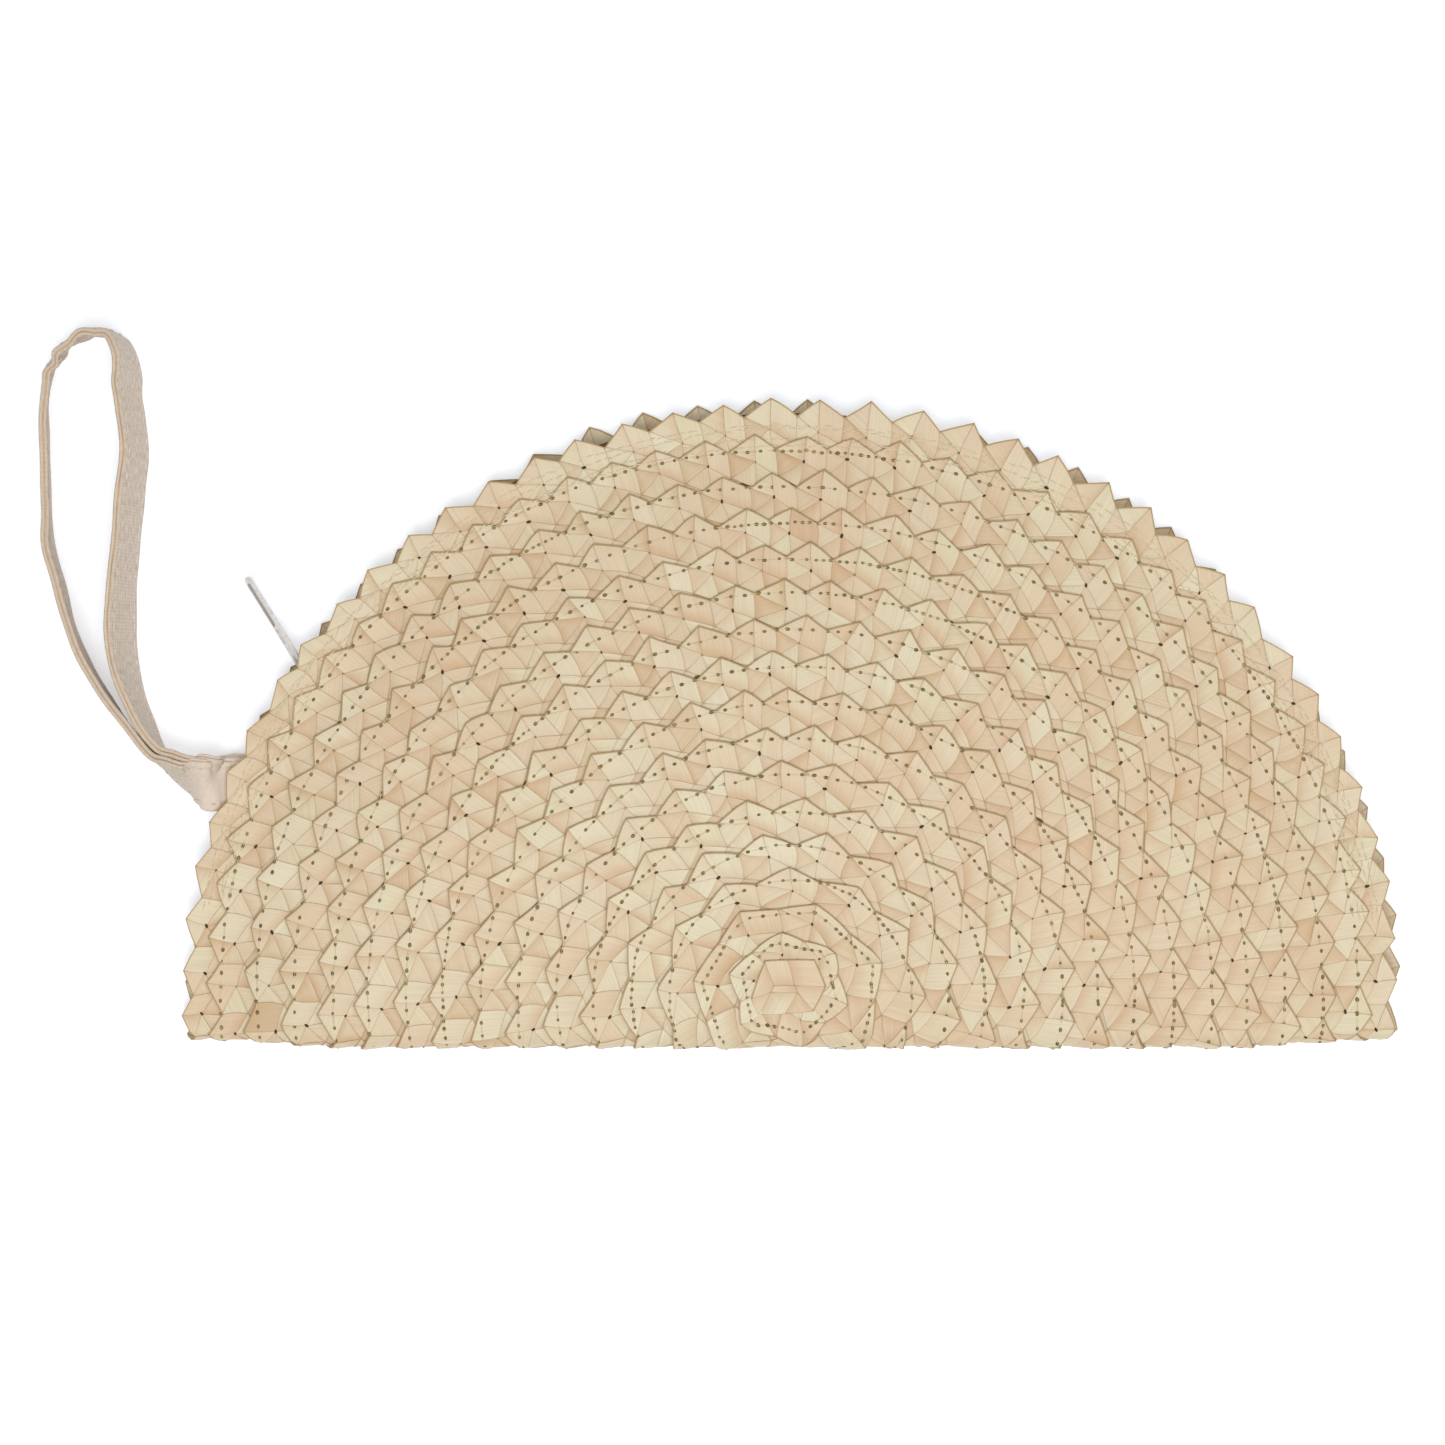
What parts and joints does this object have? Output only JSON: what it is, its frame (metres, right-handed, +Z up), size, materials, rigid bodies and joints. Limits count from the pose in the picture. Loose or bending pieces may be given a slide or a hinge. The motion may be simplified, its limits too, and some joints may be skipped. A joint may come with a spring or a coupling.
{
  "type": "woven pandan clutch",
  "caption": "Half-moon clutch of sewn sawtooth palm-leaf braid, folded from one disc, with a zip along the arc, a swinging zip pull and a canvas wrist strap.",
  "frame": {"origin": "on the resting plane, on the flat band of a braid row near the middle of the back panel", "axes": "+X along the folded edge, away from the wrist strap; +Y from the folded edge to the arc; +Z up, out of the front panel"},
  "size_m": [0.3475, 0.1841, 0.0175],
  "materials": {
    "leaf_braid": "dried pandan leaf, braided, with a dull waxy sheen",
    "zip_tape": "woven polyester tape",
    "zip_coil": "moulded nylon coil",
    "white_enamel": "white stoving enamel on a die casting",
    "canvas": "natural unbleached cotton canvas"
  },
  "bodies": {
    "clutch": {"woven_body": "leaf_braid", "zip_tape_front": "zip_tape", "zip_tape_back": "zip_tape", "zip_chain": "zip_coil", "zip_slider": "white_enamel", "wrist_strap": "canvas"},
    "pull": {"zip_pull": "white_enamel"}
  },
  "joints": [
    {"name": "pull_swing", "type": "hinge", "parent": "clutch", "child": "pull", "pos_m": [-0.12291, 0.00166, 0.0054], "axis": [0, 0, 1], "range_deg": [-61, 88]}
  ]
}
